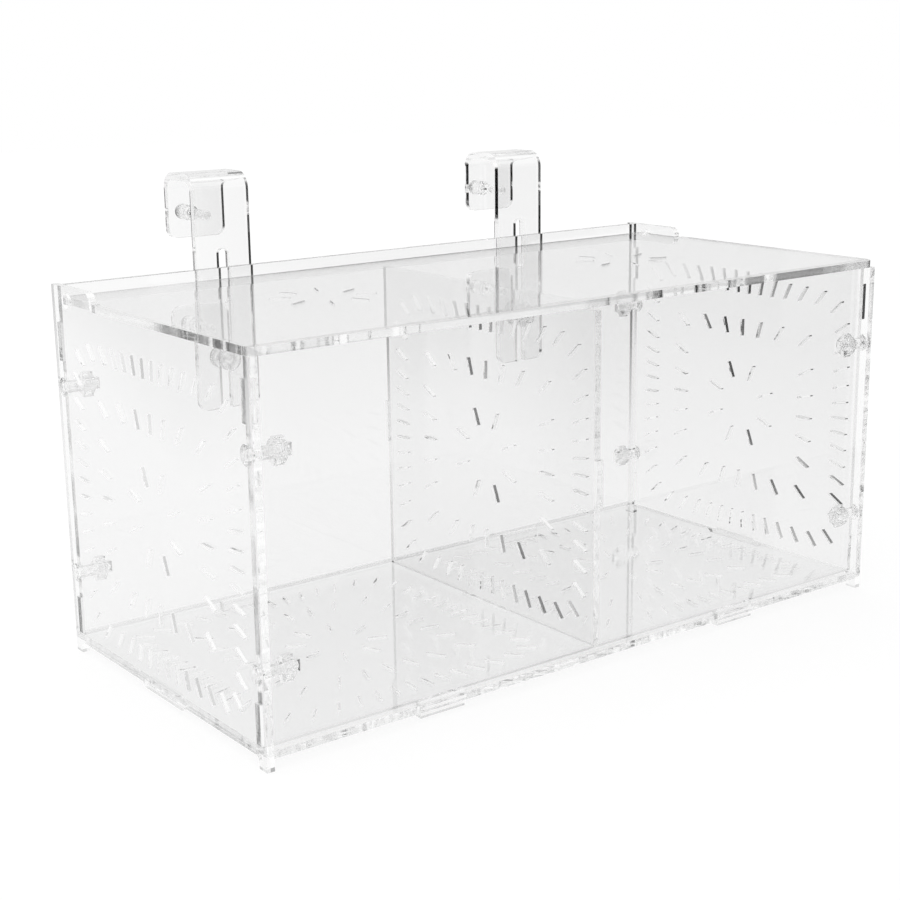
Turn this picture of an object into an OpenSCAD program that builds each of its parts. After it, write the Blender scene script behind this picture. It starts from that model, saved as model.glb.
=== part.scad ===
// Hang-on fish breeding box: laser-cut clear sheets joined by fingers, tabs and
// captive-nut screws, with a hinged lid, a fixed divider and two height-adjustable
// hangers that hook over a tank wall and clamp it.
// Millimetres. X runs along the box, -Y is the front, +Y is the hanging side, Z is up.
// The origin is on the ground under the middle of the whole part.

/* [Sheets and box] */
// Clear length between the two side panels
inner_length = 300; // [240:1:360]
// Depth of a side panel, front edge to back edge
panel_depth = 150; // [135:1:180]
// Thickness of every sheet
sheet = 3; // [2.5:0.1:4]
// Height of the rim that the lid rests on
rim_z = 143; // [134:1:170]
// Height of the underside of the floor sheet
floor_z = 4.5; // [3.5:0.5:8]
// Sheet left outside the front and back panels on a side panel
edge_margin = 3.3; // [2.5:0.1:6]
// Width of the four legs on the side panels
leg_w = 5; // [4:0.5:8]
// Fillet where a leg meets the lower edge
leg_fillet = 2; // [0.5:0.5:3]

/* [Finger and tab joints] */
// Height of a finger on the end of the front or back panel
finger_h = 15; // [10:1:18]
// Underside of the upper fingers, measured down from the rim
upper_finger_drop = 22.5; // [20:0.5:26]
// Underside of the lower fingers, measured up from the floor's top
lower_finger_rise = 1; // [0.5:0.5:4]
// Width of the tabs that pass down through the floor
wall_tab_w = 20; // [12:1:30]
// How far those tabs reach below the floor
wall_tab_drop = 3.8; // [1:0.1:4.5]
// Offset of those tabs from the middle of the box
wall_tab_x = 76.5; // [40:0.5:95]
// Width of the floor's tab in each side panel
floor_tab_w = 24; // [12:1:40]
// Depth of the lobe that closes that tab's mortise from below
lobe_drop = 1.8; // [1:0.1:3]
// Sheet left beside the mortise, over the lobe's flat
lobe_side = 3; // [2:0.5:8]
// Height of the divider's tabs in the front and back panels
divider_tab_h = 18; // [10:1:30]
// Width of the divider's tab in the floor
divider_foot_w = 30; // [15:1:50]
// Gap between the divider's top edge and the rim
divider_drop = 2.5; // [2.4:0.1:12]
// Clearance of a tab in its mortise, each side, and of a sheet's end against a sheet
joint_gap = 0.1; // [0.05:0.05:0.3]
// Gap between faces that rest on each other, such as the lid on the rim
seat_gap = 0.05; // [0.02:0.01:0.1]

/* [Water slots] */
// Width of a water slot
slot_w = 0.8; // [0.6:0.1:1.6]
// Length of a water slot
slot_len = 8; // [6:0.5:9]
// Distance from the outer ring's slot middles to a panel's front and back edges, on average
ring_edge_y = 16.1; // [16:0.1:24]
// Distance from the outer ring's slot middles to the rim and the lower edge, before its drop
ring_edge_z = 13.3; // [13:0.1:20]
// Number of slots in the outer ring
outer_count = 52; // [28:4:52]
// Half length of the middle ring, to the slots' middles
middle_half_u = 38.8; // [34:0.1:42]
// Half height of the middle ring, to the slots' middles
middle_half_v = 36.1; // [32:0.1:40]
// Number of slots in the middle ring
middle_count = 24; // [12:4:24]
// Radius of the inner ring, to the slots' middles
inner_r = 16.6; // [12:0.1:20]
// Number of slots in the inner ring
inner_count = 8; // [6:1:8]
// Squareness of the outer ring, where 2 is an ellipse
outer_square = 10; // [2:1:16]
// Squareness of the middle ring
middle_square = 24; // [2:1:30]
// How far the middle of an upright panel's slot pattern lies below the panel's middle
pattern_drop = 2.1; // [0:0.1:3]
// How far that pattern lies in front of the panel's middle
pattern_fore = 1; // [0:0.1:2.5]

/* [Lid and ears] */
// Height of the ears and back panel above the rim
ear_rise = 7; // [6:0.5:12]
// Length of an ear along the side panel
ear_len = 33; // [24:1:45]
// Rounding at the top of an ear
ear_round = 4; // [2:0.5:5]
// Fillet where an ear meets the rim
ear_fillet = 2.5; // [1:0.5:3]
// Pivot axis, measured from the back edge of a side panel
pivot_back = 12; // [10.5:0.5:16]
// Width of the pivot tab of the lid
pivot_tab_w = 5; // [3.5:0.5:6]
// Radial play of the tab's corners in the pivot hole
pivot_play = 0.09; // [0.05:0.01:0.1]
// Lid sheet left behind the pivot axis
lid_tail = 3; // [2.8:0.1:3.5]
// Gap between the lid's notches and the ears
lid_side_gap = 0.4; // [0.2:0.1:1]
// Rounding of the lid's front corners
lid_corner_r = 5; // [1:0.5:10]

/* [Screws and nuts] */
// Diameter of every screw shank
shank_d = 4; // [3:0.1:5]
// Diameter of the thumb heads and the nuts
knob_d = 9.4; // [8:0.1:9.5]
// Thickness of a thumb head
head_h = 2.5; // [2:0.1:4]
// Diameter of the sunk heads of the corner screws, at the panel's face
sunk_d = 7.5; // [6.5:0.1:8]
// Width of the driver slot in a sunk head
drive_w = 1; // [0.8:0.1:1.4]
// Depth of that driver slot
drive_depth = 1; // [0.6:0.1:1.2]
// Thickness of a nut
nut_h = 4; // [3:0.1:5]
// Reach of a corner screw, from the outer face of the side panel
corner_reach = 16; // [14.5:0.5:20]
// Room beyond the tip of a corner screw in its channel
channel_end_gap = 0.5; // [0.3:0.1:2]
// Distance of a nut's seat from the inner face of the side panel
nut_seat = 6.5; // [4:0.5:8]
// Distance of the upper screws below the rim
upper_screw_drop = 33; // [32:0.5:36]
// Distance of the lower screws above the floor sheet's underside
lower_screw_rise = 29.5; // [29:0.5:33]
// Clearance of a shank in its hole, each side
shank_gap = 0.2; // [0.1:0.05:0.4]
// Play of the screw in its nut, each side
thread_play = 0.05; // [0.02:0.01:0.1]
// Number of grip grooves round a head or nut
grip_count = 16; // [12:1:20]
// Diameter of a grip groove
grip_d = 0.9; // [0.6:0.1:1.1]

/* [Hangers] */
// Width of a hanger strip
hanger_w = 25.5; // [20:0.5:32]
// Middle of the left hanger, left of the box's middle
left_hanger_x = 78.5; // [50:0.5:110]
// Middle of the right hanger, right of the box's middle
right_hanger_x = 78.5; // [50:0.5:110]
// Height of the top of a hanger above the rim
hanger_rise = 45; // [38:1:60]
// Height of the long leg's lower end below the rim
hanger_drop = 52; // [42:1:70]
// Length of the short leg, down from the hanger's top
hook_len = 27.5; // [22:0.5:34]
// Gap that takes the tank wall
hook_gap = 19; // [10:0.1:22]
// Outer radius of the two bends
bend_r = 7; // [5:0.5:7.5]
// Rounding of the lower corners
strip_corner_r = 4; // [1:0.5:6]
// Width of the fork slot that rides on the fixing screw
fork_w = 4.8; // [4.8:0.1:7]
// Height of the fork slot's top above the rim
fork_rise = 14.5; // [6:0.5:16]
// Height of the fixing screw below the rim
fix_drop = 31; // [28:0.5:34]
// Running gap between a hanger and the parts that it slides past
slide_gap = 0.1; // [0.05:0.05:0.2]
// Length of the fixing screw that stands out of its nut
fix_proud = 1.5; // [0.5:0.5:4]
// Height of the clamp screw below the hanger's top
clamp_drop = 18; // [15:0.5:19]
// Length of the clamp screw's grip
clamp_grip_l = 8; // [6:0.5:12]
// Diameter of the clamp screw's grip
clamp_grip_d = 6.5; // [5.5:0.1:9]
// Length of the clamp screw's shank
clamp_shank_l = 14.5; // [12:0.5:16]
// How far the clamp screw's grip stands off the short leg
clamp_standoff = 3; // [1:0.5:4]

/* [Hidden] */
$fn = 48;
OVER = 1;
ACRYLIC = [0.86, 0.92, 0.94, 0.4];
PLASTIC = [0.9, 0.93, 0.95, 0.6];

outer_x = inner_length / 2 + sheet;
pattern_x = outer_x / 2;
half_depth = panel_depth / 2;
floor_top = floor_z + sheet;
ear_top = rim_z + ear_rise;
// Middle planes of the front and back panels
wall_y = half_depth - edge_margin - sheet / 2;
wall_inner_y = wall_y - sheet / 2;
wall_outer_y = wall_y + sheet / 2;
upper_finger_z = rim_z - upper_finger_drop;
lower_finger_z = floor_top + lower_finger_rise;
mid_z = (rim_z + floor_z) / 2;
pattern_z = mid_z - pattern_drop;
// Half sizes of the outer ring, to the slots' middles
outer_half_u = half_depth - ring_edge_y;
outer_half_v = mid_z - floor_z - ring_edge_z;
upper_screw_z = rim_z - upper_screw_drop;
lower_screw_z = floor_z + lower_screw_rise;
screw_zs = [lower_screw_z, upper_screw_z];
shank_hole_d = shank_d + 2 * shank_gap;
nut_bore_d = shank_d + 2 * thread_play;
pivot_y = half_depth - pivot_back;
pivot_z = rim_z + seat_gap + sheet / 2;
pivot_hole_d = norm([pivot_tab_w, sheet]) + 2 * pivot_play;
// Hanger planes, front to back
strip_front_y = wall_outer_y + slide_gap;
strip_back_y = strip_front_y + sheet;
hook_inner_y = strip_back_y + hook_gap;
hook_outer_y = hook_inner_y + sheet;
hanger_top = rim_z + hanger_rise;
hanger_bottom = rim_z - hanger_drop;
hook_bottom = hanger_top - hook_len;
fix_z = rim_z - fix_drop;
clamp_z = hanger_top - clamp_drop;
clamp_head_y = hook_outer_y + clamp_standoff;
back_end_y = clamp_head_y + clamp_grip_l;
// The part's middle between its front edges and the ends of the clamp screws
shift_y = -(back_end_y - half_depth) / 2;

// Places that outlines are drawn in: a side panel's outline is drawn in Y and Z,
// a wall's in X and Z, and each becomes a sheet of the common thickness.
module as_side_sheet(x_low) {
    translate([x_low, shift_y, 0])
        rotate([90, 0, 90])
            linear_extrude(sheet)
                children();
}

module as_wall_sheet(y_mid) {
    translate([0, shift_y + y_mid + sheet / 2, 0])
        rotate([90, 0, 0])
            linear_extrude(sheet)
                children();
}

module as_flat_sheet(z_low) {
    translate([0, shift_y, z_low])
        linear_extrude(sheet)
            children();
}

// The piece that fills an inner corner at the origin with a fillet
module corner_fillet(r) {
    difference() {
        square(r);
        translate([r, r]) circle(r);
    }
}

// One water slot: a stadium along its own X
module water_slot() {
    straight = slot_len - slot_w;
    square([straight, slot_w], center = true);
    for (end = [-1, 1])
        translate([end * straight / 2, 0]) circle(d = slot_w, $fn = 16);
}

// A point of a rounded-square ring: the plain direction (cos, sin) is stretched by
// (|cos|^n + |sin|^n)^(-1/n), which turns a circle into a square as n grows
function ring_point(angle, half_u, half_v, n) =
    let (c = cos(angle), s = sin(angle))
    let (k = pow(pow(abs(c), n) + pow(abs(s), n), -1 / n))
    [half_u * c * k, half_v * s * k];

module slot_ring(count, first_angle, half_u, half_v, n) {
    for (i = [0 : count - 1]) {
        p = ring_point(first_angle + i * 360 / count, half_u, half_v, n);
        translate(p) rotate(atan2(p[1], p[0])) water_slot();
    }
}

// The eight-slot star alone, as the lid has it
module water_star() {
    slot_ring(inner_count, 180 / inner_count, inner_r, inner_r, 2);
}

// The full pattern: star, middle ring and outer ring
module water_pattern() {
    water_star();
    slot_ring(middle_count, 0, middle_half_u, middle_half_v, middle_square);
    slot_ring(outer_count, 180 / outer_count, outer_half_u, outer_half_v, outer_square);
}

// A mortise for a tab of the given size, with the joint clearance all round
module mortise(w, h) {
    square([w + 2 * joint_gap, h + 2 * joint_gap], center = true);
}

module side_outline() {
    lobe_half = floor_tab_w / 2 + lobe_side;
    translate([-half_depth, floor_z]) square([panel_depth, rim_z - floor_z]);
    // Ear with a rounded top and a fillet down to the rim
    translate([half_depth - ear_len, rim_z - OVER])
        difference() {
            square([ear_len, ear_rise + OVER]);
            translate([0, ear_rise + OVER]) mirror([0, 1]) corner_fillet(ear_round);
        }
    translate([half_depth - ear_len, rim_z]) mirror([1, 0]) corner_fillet(ear_fillet);
    // Legs with a fillet up to the lower edge
    for (side = [-1, 1])
        scale([side, 1]) {
            translate([half_depth - leg_w, 0]) square([leg_w, floor_z + OVER]);
            translate([half_depth - leg_w, floor_z]) rotate(180) corner_fillet(leg_fillet);
        }
    // Lobe under the floor tab's mortise
    polygon([
        [-lobe_half - lobe_drop, floor_z + OVER], [-lobe_half - lobe_drop, floor_z],
        [-lobe_half, floor_z - lobe_drop], [lobe_half, floor_z - lobe_drop],
        [lobe_half + lobe_drop, floor_z], [lobe_half + lobe_drop, floor_z + OVER]
    ]);
}

module side_sheet_outline() {
    difference() {
        side_outline();
        for (side = [-1, 1]) {
            for (z = [lower_finger_z, upper_finger_z])
                translate([side * wall_y, z + finger_h / 2]) mortise(sheet, finger_h);
            for (z = screw_zs)
                translate([side * wall_y, z]) circle(d = shank_hole_d);
        }
        translate([0, floor_z + sheet / 2]) mortise(floor_tab_w, sheet);
        translate([pivot_y, pivot_z]) circle(d = pivot_hole_d);
        translate([-pattern_fore, pattern_z]) water_pattern();
    }
}

// A T-shaped cut at the right-hand end of a wall: a channel for the screw and a
// cross pocket for its nut, whose outer wall is the nut's seat
module screw_channel(z) {
    depth = corner_reach - sheet + channel_end_gap;
    translate([inner_length / 2 - depth, z - shank_hole_d / 2])
        square([depth + OVER, shank_hole_d]);
    translate([inner_length / 2 - nut_seat - nut_h - shank_gap, z - knob_d / 2 - shank_gap])
        square([nut_h + shank_gap + seat_gap, knob_d + 2 * shank_gap]);
}

module wall_outline(top_z) {
    half = inner_length / 2 - joint_gap;
    foot_z = floor_top + joint_gap;
    difference() {
        union() {
            translate([-half, foot_z]) square([2 * half, top_z - foot_z]);
            for (z = [lower_finger_z, upper_finger_z])
                translate([-outer_x, z]) square([2 * outer_x, finger_h]);
            for (side = [-1, 1])
                translate([side * wall_tab_x - wall_tab_w / 2, floor_z - wall_tab_drop])
                    square([wall_tab_w, foot_z + OVER - floor_z + wall_tab_drop]);
        }
        for (z = screw_zs) {
            screw_channel(z);
            mirror([1, 0]) screw_channel(z);
        }
        translate([0, mid_z]) mortise(sheet, divider_tab_h);
    }
}

module floor_outline() {
    half = inner_length / 2 - joint_gap;
    difference() {
        union() {
            translate([-half, -half_depth]) square([2 * half, panel_depth]);
            translate([-outer_x, -floor_tab_w / 2]) square([2 * outer_x, floor_tab_w]);
        }
        for (side = [-1, 1]) {
            for (end = [-1, 1])
                translate([end * wall_tab_x, side * wall_y]) mortise(wall_tab_w, sheet);
            translate([side * pattern_x, 0]) water_pattern();
        }
        mortise(sheet, divider_foot_w);
    }
}

module divider_outline() {
    top = rim_z - divider_drop;
    half = wall_inner_y - joint_gap;
    foot_z = floor_top + joint_gap;
    difference() {
        union() {
            translate([-half, foot_z]) square([2 * half, top - foot_z]);
            translate([-wall_outer_y, mid_z - divider_tab_h / 2])
                square([2 * wall_outer_y, divider_tab_h]);
            translate([-divider_foot_w / 2, floor_z]) square([divider_foot_w, foot_z - floor_z + OVER]);
        }
        translate([-pattern_fore, pattern_z]) water_pattern();
    }
}

module lid_outline() {
    notch_y = half_depth - ear_len - ear_fillet;
    notch_x = inner_length / 2 - lid_side_gap;
    tab_x = outer_x - lid_side_gap;
    front_len = notch_y + half_depth;
    difference() {
        union() {
            difference() {
                translate([-outer_x, -half_depth]) square([2 * outer_x, front_len]);
                for (side = [-1, 1])
                    translate([side * outer_x, -half_depth]) scale([-side, 1])
                        corner_fillet(lid_corner_r);
            }
            translate([-notch_x, -half_depth + lid_corner_r])
                square([2 * notch_x, pivot_y + lid_tail + half_depth - lid_corner_r]);
            translate([-tab_x, pivot_y - pivot_tab_w / 2]) square([2 * tab_x, pivot_tab_w]);
        }
        for (side = [-1, 1])
            translate([side * pattern_x, 0]) water_star();
    }
}

// The four countersinks in a side panel's outer face
module countersinks(side) {
    for (face = [-1, 1])
        for (z = screw_zs)
            at_corner_hole(side, face, z)
                translate([0, 0, -OVER])
                    cylinder(r1 = sunk_d / 2 + OVER, r2 = shank_d / 2,
                             h = (sunk_d - shank_d) / 2 + OVER);
}

module side_panel(side, x_low) {
    color(ACRYLIC)
        difference() {
            as_side_sheet(x_low) side_sheet_outline();
            countersinks(side);
        }
}

module left_side_panel() {
    side_panel(-1, -outer_x);
}

module right_side_panel() {
    side_panel(1, inner_length / 2);
}

module front_panel() {
    color(ACRYLIC) as_wall_sheet(-wall_y) wall_outline(rim_z);
}

module back_panel() {
    color(ACRYLIC)
        as_wall_sheet(wall_y)
            difference() {
                wall_outline(ear_top);
                for (x = [-left_hanger_x, right_hanger_x])
                    translate([x, fix_z]) circle(d = shank_hole_d);
            }
}

module floor_panel() {
    color(ACRYLIC) as_flat_sheet(floor_z) floor_outline();
}

module divider_panel() {
    color(ACRYLIC) as_side_sheet(-sheet / 2) divider_outline();
}

module lid_panel() {
    color(ACRYLIC) as_flat_sheet(rim_z + seat_gap) lid_outline();
}

// Grip grooves along the rim of a round knob of the given height
module grip_grooves(d, h) {
    for (i = [0 : grip_count - 1])
        rotate(i * 360 / grip_count)
            translate([d / 2, 0, -OVER]) cylinder(d = grip_d, h = h + 2 * OVER, $fn = 16);
}

// A thumb screw through a sheet whose face is z = 0: shank up, head below
module thumb_screw(reach) {
    tip = shank_d / 8;
    head_mid = -seat_gap - head_h / 2;
    translate([0, 0, head_mid - head_h / 2])
        difference() {
            cylinder(d = knob_d, h = head_h);
            grip_grooves(knob_d, head_h);
        }
    rotate_extrude()
        polygon([[0, head_mid], [shank_d / 2, head_mid], [shank_d / 2, reach - tip],
                 [shank_d / 2 - tip, reach], [0, reach]]);
}

// A sunk screw whose head lies flush in the face z = 0, with its shank up
module sunk_screw(reach) {
    tip = shank_d / 8;
    head_r = sunk_d / 2 - seat_gap;
    difference() {
        rotate_extrude()
            polygon([[0, 0], [head_r, 0], [shank_d / 2, head_r - shank_d / 2],
                     [shank_d / 2, reach - tip], [shank_d / 2 - tip, reach], [0, reach]]);
        translate([-head_r - OVER, -drive_w / 2, -OVER])
            cube([2 * (head_r + OVER), drive_w, drive_depth + OVER]);
    }
}

// A round nut that stands on z = 0
module round_nut() {
    difference() {
        cylinder(d = knob_d, h = nut_h);
        translate([0, 0, -OVER]) cylinder(d = nut_bore_d, h = nut_h + 2 * OVER);
        grip_grooves(knob_d, nut_h);
    }
}

// A side panel's screw hole, from its outer face inwards: side is -1 for left and 1 for
// right, face is -1 for front and 1 for back
module at_corner_hole(side, face, z) {
    translate([side * outer_x, shift_y + face * wall_y, z])
        rotate([0, -90 * side, 0])
            children();
}

module corner_screw(side, face, z) {
    color(PLASTIC) at_corner_hole(side, face, z) sunk_screw(corner_reach);
}

module corner_nut(side, face, z) {
    color(PLASTIC)
        translate([side * (inner_length / 2 - nut_seat), shift_y + face * wall_y, z])
            rotate([0, -90 * side, 0]) round_nut();
}

// The two lower corners of a strip of the hanger's width, cut across its thickness
module strip_corner_cuts(y_low, z_low) {
    for (side = [-1, 1])
        translate([side * hanger_w / 2, y_low - OVER, z_low])
            rotate([-90, 0, 0])
                linear_extrude(sheet + 2 * OVER)
                    scale([-side, -1]) corner_fillet(strip_corner_r);
}

// The hanger seen from its end: two legs joined by two round bends
module hanger_profile() {
    inner_bend_r = bend_r - sheet;
    flat_z = hanger_top - bend_r;
    translate([strip_front_y, hanger_bottom]) square([sheet, flat_z - hanger_bottom]);
    translate([hook_inner_y, hook_bottom]) square([sheet, flat_z - hook_bottom]);
    translate([strip_front_y + bend_r, hanger_top - sheet])
        square([hook_outer_y - strip_front_y - 2 * bend_r, sheet]);
    translate([strip_front_y + bend_r, flat_z]) mirror([1, 0]) bend(inner_bend_r);
    translate([hook_outer_y - bend_r, flat_z]) bend(inner_bend_r);
}

module bend(inner_bend_r) {
    intersection() {
        difference() {
            circle(bend_r);
            circle(inner_bend_r);
        }
        square(bend_r);
    }
}

module hanger(x) {
    fork_top = rim_z + fork_rise;
    color(ACRYLIC)
        translate([x, shift_y, 0])
            difference() {
                rotate([90, 0, 90])
                    linear_extrude(hanger_w, center = true) hanger_profile();
                // Fork slot, round at the top and open below
                translate([-fork_w / 2, strip_front_y - OVER, hanger_bottom - OVER])
                    cube([fork_w, sheet + 2 * OVER, fork_top - fork_w / 2 - hanger_bottom + OVER]);
                translate([0, strip_front_y - OVER, fork_top - fork_w / 2])
                    rotate([-90, 0, 0]) cylinder(d = fork_w, h = sheet + 2 * OVER);
                // Hole for the clamp screw
                translate([0, hook_inner_y - OVER, clamp_z])
                    rotate([-90, 0, 0]) cylinder(d = nut_bore_d, h = sheet + 2 * OVER);
                strip_corner_cuts(strip_front_y, hanger_bottom);
                strip_corner_cuts(hook_inner_y, hook_bottom);
            }
}

module hanger_screw(x) {
    reach = sheet * 2 + 2 * slide_gap + nut_h + fix_proud;
    color(PLASTIC)
        translate([x, shift_y + wall_inner_y, fix_z]) rotate([-90, 0, 0]) thumb_screw(reach);
}

module hanger_nut(x) {
    color(PLASTIC)
        translate([x, shift_y + strip_back_y + slide_gap, fix_z])
            rotate([-90, 0, 0]) round_nut();
}

// Clamp screw: a round-ended shank that points at the tank wall, and a slim grip
module clamp_screw(x) {
    r = shank_d / 2;
    grip_r = clamp_grip_d / 2;
    edge = 0.6;
    color(PLASTIC)
        translate([x, shift_y + clamp_head_y, clamp_z])
            rotate([90, 0, 0])
                rotate_extrude()
                    polygon([
                        [0, -clamp_grip_l], [grip_r - edge, -clamp_grip_l],
                        [grip_r, -clamp_grip_l + edge], [grip_r, -edge],
                        [grip_r - edge, 0], [r, 0], [r, clamp_shank_l - r / 2],
                        [r / 2, clamp_shank_l], [0, clamp_shank_l]
                    ]);
}

left_side_panel();
right_side_panel();
front_panel();
back_panel();
floor_panel();
divider_panel();
lid_panel();
corner_screw(-1, -1, lower_screw_z);  // screw_front_left_lower
corner_screw(-1, -1, upper_screw_z);  // screw_front_left_upper
corner_screw(1, -1, lower_screw_z);  // screw_front_right_lower
corner_screw(1, -1, upper_screw_z);  // screw_front_right_upper
corner_screw(-1, 1, lower_screw_z);  // screw_back_left_lower
corner_screw(-1, 1, upper_screw_z);  // screw_back_left_upper
corner_screw(1, 1, lower_screw_z);  // screw_back_right_lower
corner_screw(1, 1, upper_screw_z);  // screw_back_right_upper
corner_nut(-1, -1, lower_screw_z);  // nut_front_left_lower
corner_nut(-1, -1, upper_screw_z);  // nut_front_left_upper
corner_nut(1, -1, lower_screw_z);  // nut_front_right_lower
corner_nut(1, -1, upper_screw_z);  // nut_front_right_upper
corner_nut(-1, 1, lower_screw_z);  // nut_back_left_lower
corner_nut(-1, 1, upper_screw_z);  // nut_back_left_upper
corner_nut(1, 1, lower_screw_z);  // nut_back_right_lower
corner_nut(1, 1, upper_screw_z);  // nut_back_right_upper
hanger(-left_hanger_x);  // left_hanger
hanger(right_hanger_x);  // right_hanger
hanger_screw(-left_hanger_x);  // left_hanger_screw
hanger_screw(right_hanger_x);  // right_hanger_screw
hanger_nut(-left_hanger_x);  // left_hanger_nut
hanger_nut(right_hanger_x);  // right_hanger_nut
clamp_screw(-left_hanger_x);  // left_clamp_screw
clamp_screw(right_hanger_x);  // right_clamp_screw
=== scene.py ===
"""Looks of a clear hang-on fish breeding box: laser-cut acrylic sheets, heat-bent
hangers and moulded clear fasteners, on a white studio ground."""

import math

import bpy
import numpy as np
from mathutils import Matrix, Vector


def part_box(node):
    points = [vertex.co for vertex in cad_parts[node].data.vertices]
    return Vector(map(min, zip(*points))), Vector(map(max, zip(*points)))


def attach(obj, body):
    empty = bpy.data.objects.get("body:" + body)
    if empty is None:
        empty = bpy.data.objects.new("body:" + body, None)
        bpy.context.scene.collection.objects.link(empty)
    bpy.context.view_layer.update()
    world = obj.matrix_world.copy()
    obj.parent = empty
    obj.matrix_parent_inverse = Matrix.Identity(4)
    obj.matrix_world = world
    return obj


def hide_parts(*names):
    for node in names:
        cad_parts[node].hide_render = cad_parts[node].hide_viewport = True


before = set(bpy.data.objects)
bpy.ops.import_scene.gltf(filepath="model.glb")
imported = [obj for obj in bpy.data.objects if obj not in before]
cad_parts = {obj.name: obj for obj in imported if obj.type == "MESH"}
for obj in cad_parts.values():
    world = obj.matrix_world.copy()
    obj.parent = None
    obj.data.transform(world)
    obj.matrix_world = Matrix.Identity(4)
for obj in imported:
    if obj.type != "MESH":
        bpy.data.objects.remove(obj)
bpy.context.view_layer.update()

MM = 0.001

# Camera, found from the sheet corners in the photograph
IMAGE_PX = 900
FOCAL_PX = 1641.4
SENSOR_MM = 36.0
CAMERA_AT = Vector((-408.85, -538.04, 241.13)) * MM
LOOK_AZIMUTH = math.radians(-36.86)
LOOK_DOWN = math.radians(14.20)
CAMERA_ROLL = math.radians(-0.815)

# Each flat sheet and the axis that its thickness lies along
THICKNESS_AXIS = {"left_side_panel": "X", "right_side_panel": "X", "front_panel": "Y",
                  "back_panel": "Y", "floor_panel": "Z", "divider_panel": "X", "lid_panel": "Z"}
HANGERS = ["left_hanger", "right_hanger"]
CORNERS = [f"{face}_{side}_{level}" for face in ("front", "back") for side in ("left", "right")
           for level in ("lower", "upper")]

# Fasteners, in millimetres: coarse 4 mm thread, 9.4 mm knurled knobs, 6.5 mm grips
SHANK_R = 2.0
THREAD_PITCH = 0.7
THREAD_DEPTH = 0.3
# Where a thread runs out: along a screw's shank, and in a nut's mouth
THREAD_FADE = 1.4
MOUTH_FADE = 0.5
# Between a nut's thread and its screw's
THREAD_GAP = 0.06
KNOB_R = 4.7
KNURLS = 30
KNURL_DEPTH = 0.2
KNURL_HALF_WIDTH = math.radians(4.2)
HEAD_H = 2.5
GRIP_R = 3.25
GRIP_L = 8.0
GRIP_RIBS = 30
RIB_DEPTH = 0.12
RIB_HALF_WIDTH = math.radians(3.2)
SUNK_HEAD_R = 3.7
SUNK_RIM = 0.05
DRIVE_HALF_W = 0.5
DRIVE_HALF_L = 3.3
DRIVE_DEPTH = 1.0
CHAMFER = 0.3

# How finely the surfaces are drawn: rows in a turn of thread, columns around a knurl, a rib or
# a sunk head, and the angle in degrees from which an edge shows as sharp
ROWS_IN_TURN = 8
COLUMNS_IN_KNURL = 5
SUNK_COLUMNS = 64
SHARP_FROM = 48

# Surface patterns, in millimetres: the beam's lines on a cut edge, drawn coarser than real so
# that they show, patches of handling haze, and cloudy patches in moulded plastic
BEAM_LINE = 0.9
BEAM_RIPPLE = 0.05
HAZE_PATCH = 40
CLOUD_PATCH = 2.5
# Width of a beam line over its length across the sheet
BEAM_STRETCH = 0.15
# The part of a noise's values that a material spreads over its range of roughness
NOISE_MIDDLE = {"From Min": 0.3, "From Max": 0.7}
ACRYLIC_IOR = 1.49
PLASTIC_IOR = 1.58

# Colours, as sRGB hex
FACE_TINT = "f9f9f9"
EDGE_TINT = "ffffff"
PLASTIC_TINT = "ffffff"
CLOUDY_TINT = "fdfdfd"
TABLE_GREY = "505050"
FELT_BLACK = "0c0c0c"


def linear(hex_colour):
    """An sRGB hex colour such as "f2f4f4" as linear red, green, blue and alpha 1."""
    parts = [int(hex_colour[i:i + 2], 16) / 255 for i in (0, 2, 4)]
    return [c / 12.92 if c <= 0.04045 else ((c + 0.055) / 1.055) ** 2.4 for c in parts] + [1.0]


def add(tree, kind, settings=None, **links):
    """Adds a node of that kind, with attributes and socket values from settings and its inputs
    linked from the given sockets. A socket is named with spaces as underscores."""
    node = tree.nodes.new(kind)
    for key, value in (settings or {}).items():
        if isinstance(key, int) or key in node.inputs:
            node.inputs[key].default_value = value
        else:
            setattr(node, key, value)
    for key, socket in links.items():
        name = int(key[3:]) if key.startswith("in_") else key.replace("_", " ")
        tree.links.new(socket, node.inputs[name])
    return node


def new_object(name, data):
    """An object with that data, linked to the scene."""
    item = bpy.data.objects.new(name, data)
    bpy.context.scene.collection.objects.link(item)
    return item


def new_material(name):
    """An empty node material with its output node."""
    material = bpy.data.materials.new(name)
    material.use_nodes = True
    tree = material.node_tree
    tree.nodes.clear()
    return material, tree, tree.nodes.new("ShaderNodeOutputMaterial")


def cut_edge_mask(tree, place, axis, along_axis):
    """1 on the laser-cut edges and 0 on the polished faces, from the normal's part along one
    axis: a flat sheet's faces look along its thickness axis, and a bent strip's cut edges look
    along its width axis."""
    parts = add(tree, "ShaderNodeSeparateXYZ", Vector=place.outputs["Normal"])
    size = add(tree, "ShaderNodeMath", {"operation": "ABSOLUTE"}, in_0=parts.outputs[axis])
    test = "GREATER_THAN" if along_axis else "LESS_THAN"
    mask = add(tree, "ShaderNodeMath", {"operation": test, 1: 0.5}, in_0=size.outputs[0])
    return mask.outputs[0]


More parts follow.
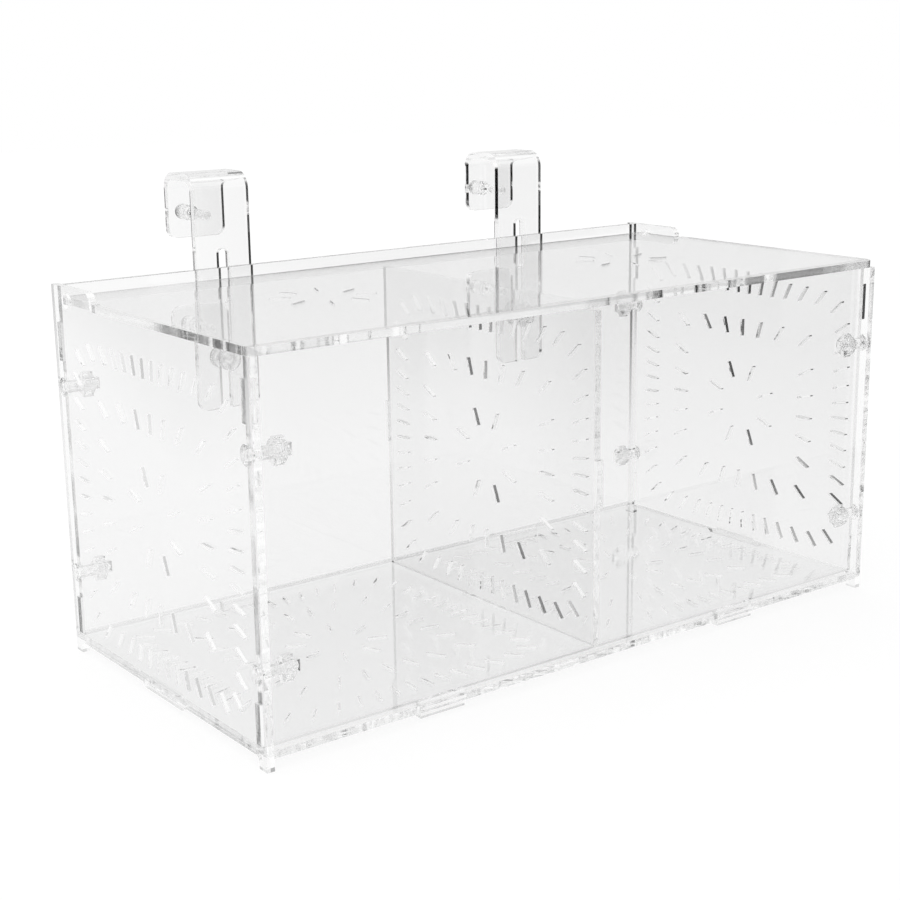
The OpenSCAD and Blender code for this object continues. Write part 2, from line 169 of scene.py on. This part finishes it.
def cast_acrylic(name, axis, bent=False):
    """Cast PMMA sheet, laser cut. The faces are polished and clear, with a trace of handling
    haze; the cut edges carry the beam's fine lines and a slight frost."""
    material, tree, output = new_material(name)
    place = add(tree, "ShaderNodeTexCoord")
    edge = cut_edge_mask(tree, place, axis, bent)
    along_cut = Vector((1, 1, 1))
    along_cut["XYZ".index("Y" if bent else axis)] = BEAM_STRETCH
    stretch = add(tree, "ShaderNodeMapping", {"Scale": along_cut}, Vector=place.outputs["Object"])
    noise = add(tree, "ShaderNodeTexNoise",
                {"Scale": 1 / (BEAM_LINE * MM), "Detail": 3.0, "Roughness": 0.6},
                Vector=stretch.outputs[0])
    haze = add(tree, "ShaderNodeTexNoise", {"Scale": 1 / (HAZE_PATCH * MM), "Detail": 2.0},
               Vector=place.outputs["Object"])
    tint = add(tree, "ShaderNodeMix",
               {"data_type": "RGBA", 6: linear(FACE_TINT), 7: linear(EDGE_TINT)}, in_0=edge)
    face_rough = add(tree, "ShaderNodeMapRange", {**NOISE_MIDDLE, "To Min": 0.0, "To Max": 0.012},
                     Value=haze.outputs["Fac"])
    edge_rough = add(tree, "ShaderNodeMapRange", {**NOISE_MIDDLE, "To Min": 0.01, "To Max": 0.07},
                     Value=noise.outputs["Fac"])
    rough = add(tree, "ShaderNodeMix", {"data_type": "FLOAT"}, in_0=edge,
                in_2=face_rough.outputs[0], in_3=edge_rough.outputs[0])
    height = add(tree, "ShaderNodeMath", {"operation": "MULTIPLY"},
                 in_0=noise.outputs["Fac"], in_1=edge)
    bump = add(tree, "ShaderNodeBump", {"Strength": 0.35, "Distance": BEAM_RIPPLE * MM},
               Height=height.outputs[0])
    shader = add(tree, "ShaderNodeBsdfPrincipled",
                 {"Transmission Weight": 1.0, "IOR": ACRYLIC_IOR},
                 Base_Color=tint.outputs[2], Roughness=rough.outputs[0], Normal=bump.outputs[0])
    tree.links.new(shader.outputs[0], output.inputs["Surface"])
    return material


def moulded_clear_plastic(name):
    """Moulded clear polycarbonate fasteners: glossy skin, faintly cloudy inside."""
    material, tree, output = new_material(name)
    place = add(tree, "ShaderNodeTexCoord")
    cloud = add(tree, "ShaderNodeTexNoise", {"Scale": 1 / (CLOUD_PATCH * MM), "Detail": 3.0},
                Vector=place.outputs["Object"])
    tint = add(tree, "ShaderNodeMix",
               {"data_type": "RGBA", 6: linear(PLASTIC_TINT), 7: linear(CLOUDY_TINT)},
               in_0=cloud.outputs["Fac"])
    rough = add(tree, "ShaderNodeMapRange", {**NOISE_MIDDLE, "To Min": 0.05, "To Max": 0.12},
                Value=cloud.outputs["Fac"])
    shader = add(tree, "ShaderNodeBsdfPrincipled",
                 {"Transmission Weight": 1.0, "IOR": PLASTIC_IOR, "Coat Weight": 1.0,
                  "Coat Roughness": 0.06, "Coat IOR": PLASTIC_IOR},
                 Base_Color=tint.outputs[2], Roughness=rough.outputs[0])
    tree.links.new(shader.outputs[0], output.inputs["Surface"])
    return material


def dress(node, material):
    """Gives a CAD node one material in every slot."""
    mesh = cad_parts[node].data
    if not mesh.materials:
        mesh.materials.append(material)
    for i in range(len(mesh.materials)):
        mesh.materials[i] = material


# Surfaces around an axis

def ring_surface(name, rows, start, axis, columns, loop=False):
    """A closed surface around an axis through start. Each row is a pair of radius and height,
    each a number or an array of one value per angle t. A point lies at start + axis * height +
    radius * (u cos t + v sin t), with u, v and the axis at right angles. Rows join in order,
    and the two ends close on the axis, or on each other where loop is set."""
    flat = np.ones(columns)
    radius = np.array([flat * row[0] for row in rows])
    height = np.array([flat * row[1] for row in rows])
    angle = angles(columns)
    along = np.array(axis, dtype=float)
    u = np.roll(np.abs(along), 1)
    v = np.cross(along, u)
    spokes = np.cos(angle)[:, None] * u + np.sin(angle)[:, None] * v
    points = height[..., None] * along + radius[..., None] * spokes
    ends = np.array([height[0].mean() * along, height[-1].mean() * along])
    points = (np.concatenate([points.reshape(-1, 3), ends]) + np.array(start)) * MM

    count = len(rows) * columns
    here = np.arange(columns)
    after = (here + 1) % columns
    low = np.arange(len(rows) if loop else len(rows) - 1)[:, None] * columns
    high = (low + columns) % count
    quads = np.stack([low + here, low + after, high + after, high + here], axis=-1).reshape(-1, 4)
    faces = quads.tolist()
    if loop:
        points = points[:count]
    else:
        top = count - columns
        faces += np.stack([here * 0 + count, after, here], axis=-1).tolist()
        faces += np.stack([top + here, top + after, here * 0 + count + 1], axis=-1).tolist()
    mesh = bpy.data.meshes.new(name)
    mesh.from_pydata(points.tolist(), [], faces)
    mesh.polygons.foreach_set("use_smooth", np.ones(len(faces), dtype=bool))
    mesh.set_sharp_from_angle(angle=math.radians(SHARP_FROM))
    return new_object(name, mesh)


def angles(columns):
    """Even angles around a full turn: number of the column * turn / columns."""
    return np.arange(columns) * 2 * math.pi / columns


def thread_rows(low, high, offset, columns, gap=0.0, fade=THREAD_FADE):
    """Rows of a single-start thread from height low to high, or down from low where high is
    less. The crest follows a helix: the radius falls from the shank's by the thread's depth as
    a cosine of height / pitch - angle / turn, and the depth fades out towards both ends.
    offset is the start's place along the axis, so that a nut's thread meets its screw's."""
    steps = math.ceil(abs(high - low) / THREAD_PITCH * ROWS_IN_TURN)
    heights = np.linspace(low, high, steps + 1)[1:-1]
    ends = np.minimum(np.abs(heights - low), np.abs(heights - high))
    depth = THREAD_DEPTH * np.clip(ends / fade, 0, 1)
    turns = (heights[:, None] + offset) / THREAD_PITCH - angles(columns)[None, :] / (2 * math.pi)
    wave = 0.5 - 0.5 * np.cos(2 * math.pi * turns)
    radii = SHANK_R + gap - depth[:, None] * wave
    return list(zip(radii, heights))


def scalloped(radius, count, depth, half_width, columns):
    """A radius with round grooves: at each of count even angles it dips by depth times the
    square root of 1 - (angle off the groove / half width) squared."""
    step = 2 * math.pi / count
    off = (angles(columns) + step / 2) % step - step / 2
    return radius - depth * np.sqrt(np.clip(1 - (off / half_width) ** 2, 0, 1))


def slot_outline(columns):
    """Radius of a rounded rectangle about its middle: (|cos t / a|^n + |sin t / b|^n)^(-1/n)."""
    angle = angles(columns)
    power = 12
    return (np.abs(np.cos(angle) / DRIVE_HALF_W) ** power
            + np.abs(np.sin(angle) / DRIVE_HALF_L) ** power) ** (-1 / power)


def shank_rows(low, tip, offset, columns):
    """Threaded shank from height low to a tip that tapers by a quarter of the radius."""
    taper = SHANK_R / 4
    rows = thread_rows(low, tip - taper, offset, columns)
    return [(SHANK_R, low)] + rows + [(SHANK_R - taper / 5, tip - taper), (SHANK_R - taper, tip)]


def knob_rows(radius, low, high):
    """A knob's rim between two faces, with a small chamfer at each."""
    inner = np.min(radius) - CHAMFER / 3
    return [(inner, low), (radius, low + CHAMFER), (radius, high - CHAMFER), (inner, high)]


def place_of(node, axis):
    """Where a fastener goes, in millimetres: its start, which is the middle of the end of the
    node's box that lies furthest back along the axis, its length, and how far along the axis
    the start lies."""
    low, high = (np.array(corner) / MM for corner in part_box(node))
    along = np.array(axis, dtype=float)
    middle = (low + high) / 2
    length = abs(np.dot(high - low, along))
    start = middle - along * length / 2
    return start, length, float(np.dot(start, along))


def fastener(node, body, rows, start, axis, columns, material, loop=False):
    """Puts a ring surface in place of its CAD node."""
    piece = ring_surface("threaded_" + node, rows, start, axis, columns, loop)
    piece.data.materials.append(material)
    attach(piece, body)
    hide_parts(node)


def sunk_screw(node, body, axis, material):
    """Corner screw with a flat sunk head and a driver slot."""
    start, length, offset = place_of(node, axis)
    slot = slot_outline(SUNK_COLUMNS)
    rows = [(slot, DRIVE_DEPTH), (slot, 0), (SUNK_HEAD_R - SUNK_RIM, 0), (SUNK_HEAD_R, SUNK_RIM)]
    rows += shank_rows(SUNK_HEAD_R - SHANK_R, length, offset, SUNK_COLUMNS)
    fastener(node, body, rows, start, axis, SUNK_COLUMNS, material)


def thumb_screw(node, body, axis, material):
    """Hanger screw with a knurled head."""
    columns = KNURLS * COLUMNS_IN_KNURL
    start, length, offset = place_of(node, axis)
    rim = scalloped(KNOB_R, KNURLS, KNURL_DEPTH, KNURL_HALF_WIDTH, columns)
    rows = knob_rows(rim, 0, HEAD_H) + shank_rows(HEAD_H, length, offset, columns)
    fastener(node, body, rows, start, axis, columns, material)


def clamp_screw(node, body, axis, material):
    """Clamp screw with a slim ribbed grip."""
    columns = GRIP_RIBS * COLUMNS_IN_KNURL
    start, length, offset = place_of(node, axis)
    rim = scalloped(GRIP_R, GRIP_RIBS, RIB_DEPTH, RIB_HALF_WIDTH, columns)
    rows = knob_rows(rim, 0, GRIP_L) + shank_rows(GRIP_L, length, offset, columns)
    fastener(node, body, rows, start, axis, columns, material)


def knurled_nut(node, body, axis, material):
    """Round nut whose bore follows the screw's thread."""
    columns = KNURLS * COLUMNS_IN_KNURL
    start, length, offset = place_of(node, axis)
    rim = scalloped(KNOB_R, KNURLS, KNURL_DEPTH, KNURL_HALF_WIDTH, columns)
    mouth = SHANK_R + THREAD_GAP + CHAMFER
    bore = thread_rows(length - CHAMFER, CHAMFER, offset, columns, THREAD_GAP, MOUTH_FADE)
    rows = [(mouth, 0)] + knob_rows(rim, 0, length) + [(mouth, length)] + bore
    fastener(node, body, rows, start, axis, columns, material, loop=True)


# Studio

# Level directions: from the camera to the part, and the same one mirrored in Y and in X
AHEAD = (0.6, 0.8, 0.0)
MIRRORED_IN_Y = (0.6, -0.8)
MIRRORED_IN_X = (-0.6, 0.8)
WHITE = (1, 1, 1, 1)
# The table top lies this far below the part's feet
TABLE_DROP = 0.2 * MM
TABLE_HALF = 3.0
# The table's own glow; the softboxes add the rest of white, but not in the part's shade
TABLE_GLOW = 0.92
# Strength of the sweep where it hangs in shade, within these cosines of the angle to AHEAD
SHADED_SWEEP = 0.84
SHADE_FROM = 0.6
SHADE_FULL = 0.9
# Sweep and ceiling meet where a direction's z lies between these
SWEEP_ENDS = 0.35
CEILING_STARTS = 0.5
# Strength of the ceiling at its brightest, which it rises to between these two z
CEILING = 1.1
BRIGHTER_FROM = 0.6
BRIGHTEST_FROM = 0.8
# Heights of a flag's four rows of points, and half the width of its thinning sides
FLAG_ROWS = np.array((0.0, 0.1, 0.18, 0.28))
FLAG_FADE = 0.04
# Both softboxes look at the middle of the part
PART_MIDDLE = (0, 0, 0.08)
SOFTBOX_SIZE = 3.0
SOFTBOX_WATTS = 24


def straight_view(tree):
    """1 for a ray that has met nothing but clear surfaces head on, so that the white ground
    shows behind and through the sheets, and 0 for reflected and scattered light."""
    path = add(tree, "ShaderNodeLightPath")
    turns = add(tree, "ShaderNodeMath", {"operation": "ADD"}, in_0=path.outputs["Glossy Depth"],
                in_1=path.outputs["Diffuse Depth"])
    return add(tree, "ShaderNodeMath", {"operation": "LESS_THAN", 1: 0.5},
               in_0=turns.outputs[0]).outputs[0]


def studio_world():
    """White behind the part; for reflections a white sweep, shaded opposite the camera, below a
    bright ceiling."""
    world = bpy.data.worlds.new("studio")
    bpy.context.scene.world = world
    world.use_nodes = True
    tree = world.node_tree
    tree.nodes.clear()
    place = add(tree, "ShaderNodeTexCoord")
    parts = add(tree, "ShaderNodeSeparateXYZ", Vector=place.outputs["Generated"])
    # The paper opposite the camera hangs in shade, so the lid mirrors it a little grey
    ahead = add(tree, "ShaderNodeVectorMath", {"operation": "DOT_PRODUCT", 1: AHEAD},
                in_0=place.outputs["Generated"])
    sweep = add(tree, "ShaderNodeMapRange",
                {"From Min": SHADE_FROM, "From Max": SHADE_FULL, "To Min": 1.0,
                 "To Max": SHADED_SWEEP}, Value=ahead.outputs["Value"])
    ceiling = add(tree, "ShaderNodeMapRange",
                  {"From Min": BRIGHTER_FROM, "From Max": BRIGHTEST_FROM, "To Min": 1.0,
                   "To Max": CEILING}, Value=parts.outputs["Z"])
    rise = add(tree, "ShaderNodeMapRange", {"From Min": SWEEP_ENDS, "From Max": CEILING_STARTS},
               Value=parts.outputs["Z"])
    room = add(tree, "ShaderNodeMix", {"data_type": "FLOAT"}, in_0=rise.outputs[0],
               in_2=sweep.outputs[0], in_3=ceiling.outputs[0])
    level = add(tree, "ShaderNodeMix", {"data_type": "FLOAT", 3: 1.0}, in_0=straight_view(tree),
                in_2=room.outputs[0])
    back = add(tree, "ShaderNodeBackground", {"Color": WHITE}, Strength=level.outputs[0])
    out = tree.nodes.new("ShaderNodeOutputWorld")
    tree.links.new(back.outputs[0], out.inputs["Surface"])


def studio_floor():
    """A wide white table top that keeps the part's soft shadow. Reflected light meets it as the
    lower part of the sweep."""
    half = TABLE_HALF
    mesh = bpy.data.meshes.new("studio_floor")
    mesh.from_pydata([(-half, -half, 0), (half, -half, 0), (half, half, 0), (-half, half, 0)], [],
                     [(0, 1, 2, 3)])
    floor = new_object("studio_floor", mesh)
    floor.location.z = -TABLE_DROP
    material, tree, output = new_material("white_table_top")
    matt = add(tree, "ShaderNodeBsdfDiffuse", {"Color": linear(TABLE_GREY)})
    glow = add(tree, "ShaderNodeEmission", {"Color": WHITE, "Strength": TABLE_GLOW})
    both = add(tree, "ShaderNodeAddShader", in_0=matt.outputs[0], in_1=glow.outputs[0])
    sweep = add(tree, "ShaderNodeEmission", {"Color": WHITE, "Strength": 1.0})
    mix = add(tree, "ShaderNodeMixShader", in_0=straight_view(tree), in_1=sweep.outputs[0],
              in_2=both.outputs[0])
    tree.links.new(mix.outputs[0], output.inputs["Surface"])
    mesh.materials.append(material)


def black_flag(name, middle, away, half_width, density):
    """A low upright black net beside the part, which only reflected light meets. It draws the
    dark lines in the cut edges of clear sheets. Away is the level unit direction from the part,
    square to the net, and density is the share of light that it stops. It thins out towards its
    rim, on a grid of four by four points, so that its mirror image in a sheet ends softly. A
    point lies at middle + side * (half width * sign + fade) + up * height of its row."""
    side = np.array((away[1], -away[0], 0))
    across = half_width * np.array((-1, -1, 1, 1)) + FLAG_FADE * np.array((-1, 1, -1, 1))
    points = np.array((*middle, 0)) + across[:, None, None] * side + FLAG_ROWS[:, None] * (0, 0, 1)
    corner = (4 * np.arange(3)[:, None] + np.arange(3)).ravel()
    faces = np.stack([corner, corner + 4, corner + 5, corner + 1], axis=1)
    mesh = bpy.data.meshes.new(name)
    mesh.from_pydata(points.reshape(-1, 3).tolist(), [], faces.tolist())
    weave = mesh.attributes.new("weave", "FLOAT", "POINT")
    weave.data.foreach_set("value", np.outer((0, 1, 1, 0), (0, density, density, 0)).ravel())
    card = new_object(name, mesh)
    material, tree, output = new_material(name + "_felt")
    felt = add(tree, "ShaderNodeBsdfDiffuse", {"Color": linear(FELT_BLACK)})
    clear = tree.nodes.new("ShaderNodeBsdfTransparent")
    thick = add(tree, "ShaderNodeAttribute", {"attribute_name": "weave"})
    open_part = add(tree, "ShaderNodeMath", {"operation": "SUBTRACT", 0: 1.0},
                    in_1=thick.outputs["Fac"])
    gone = add(tree, "ShaderNodeMath", {"operation": "MAXIMUM"}, in_0=straight_view(tree),
               in_1=open_part.outputs[0])
    mix = add(tree, "ShaderNodeMixShader", in_0=gone.outputs[0], in_1=felt.outputs[0],
              in_2=clear.outputs[0])
    tree.links.new(mix.outputs[0], output.inputs["Surface"])
    mesh.materials.append(material)


def softbox(name, at):
    """A square area lamp at a point, aimed at the part. It lights the table, and the clear sheets
    mirror only the white sweep."""
    lamp = bpy.data.lights.new(name, "AREA")
    lamp.size = SOFTBOX_SIZE
    lamp.energy = SOFTBOX_WATTS
    item = new_object(name, lamp)
    item.visible_glossy = False
    item.visible_transmission = False
    item.location = at
    aim = Vector(PART_MIDDLE) - Vector(at)
    item.rotation_euler = aim.to_track_quat("-Z", "Y").to_euler()


def photograph_camera():
    """The photograph's camera: a pinhole at CAMERA_AT, turned by azimuth, tilt and roll."""
    data = bpy.data.cameras.new("camera")
    data.sensor_width = SENSOR_MM
    data.lens = SENSOR_MM * FOCAL_PX / IMAGE_PX
    data.clip_start = 0.01
    camera = new_object("camera", data)
    turn = (Matrix.Rotation(LOOK_AZIMUTH, 4, "Z")
            @ Matrix.Rotation(math.pi / 2 - LOOK_DOWN, 4, "X")
            @ Matrix.Rotation(CAMERA_ROLL, 4, "Z"))
    camera.matrix_world = Matrix.Translation(CAMERA_AT) @ turn
    bpy.context.scene.camera = camera


photograph_camera()
scene = bpy.context.scene
scene.view_settings.view_transform = "Standard"
# A ray that enters the end of a long sheet is thrown from face to face up to seventy times
scene.cycles.max_bounces = 96
scene.cycles.glossy_bounces = 80
scene.cycles.transmission_bounces = 80
studio_world()
studio_floor()
# The flags stand where light goes that is mirrored in Y or in X on its way from the camera
black_flag("right_flag", (0.228, -0.104), MIRRORED_IN_Y, half_width=0.20, density=1.0)
black_flag("right_net", (-0.020, -0.290), MIRRORED_IN_Y, half_width=0.11, density=0.4)
black_flag("left_flag", (-0.12, 0.41), MIRRORED_IN_X, half_width=0.20, density=1.0)
black_flag("left_net", (-0.384, 0.212), MIRRORED_IN_X, half_width=0.13, density=0.6)
softbox("key_softbox", (-1.0, -0.6, 1.9))
softbox("back_softbox", (0.8, 1.2, 2.3))

acrylic = {axis: cast_acrylic("laser_cut_acrylic_across_" + axis.lower(), axis) for axis in "XYZ"}
for panel, thickness_axis in THICKNESS_AXIS.items():
    dress(panel, acrylic[thickness_axis])
bent_acrylic = cast_acrylic("heat_bent_acrylic", "X", bent=True)
for hanger in HANGERS:
    dress(hanger, bent_acrylic)

clear_plastic = moulded_clear_plastic("moulded_clear_polycarbonate")
for corner in CORNERS:
    inwards = (1, 0, 0) if "left" in corner else (-1, 0, 0)
    sunk_screw("screw_" + corner, "box", inwards, clear_plastic)
    knurled_nut("nut_" + corner, "box", inwards, clear_plastic)
for side in ("left", "right"):
    thumb_screw(side + "_hanger_screw", "box", (0, 1, 0), clear_plastic)
    knurled_nut(side + "_hanger_nut", "box", (0, 1, 0), clear_plastic)
    clamp_screw(side + "_clamp_screw", side + "_clamp", (0, -1, 0), clear_plastic)
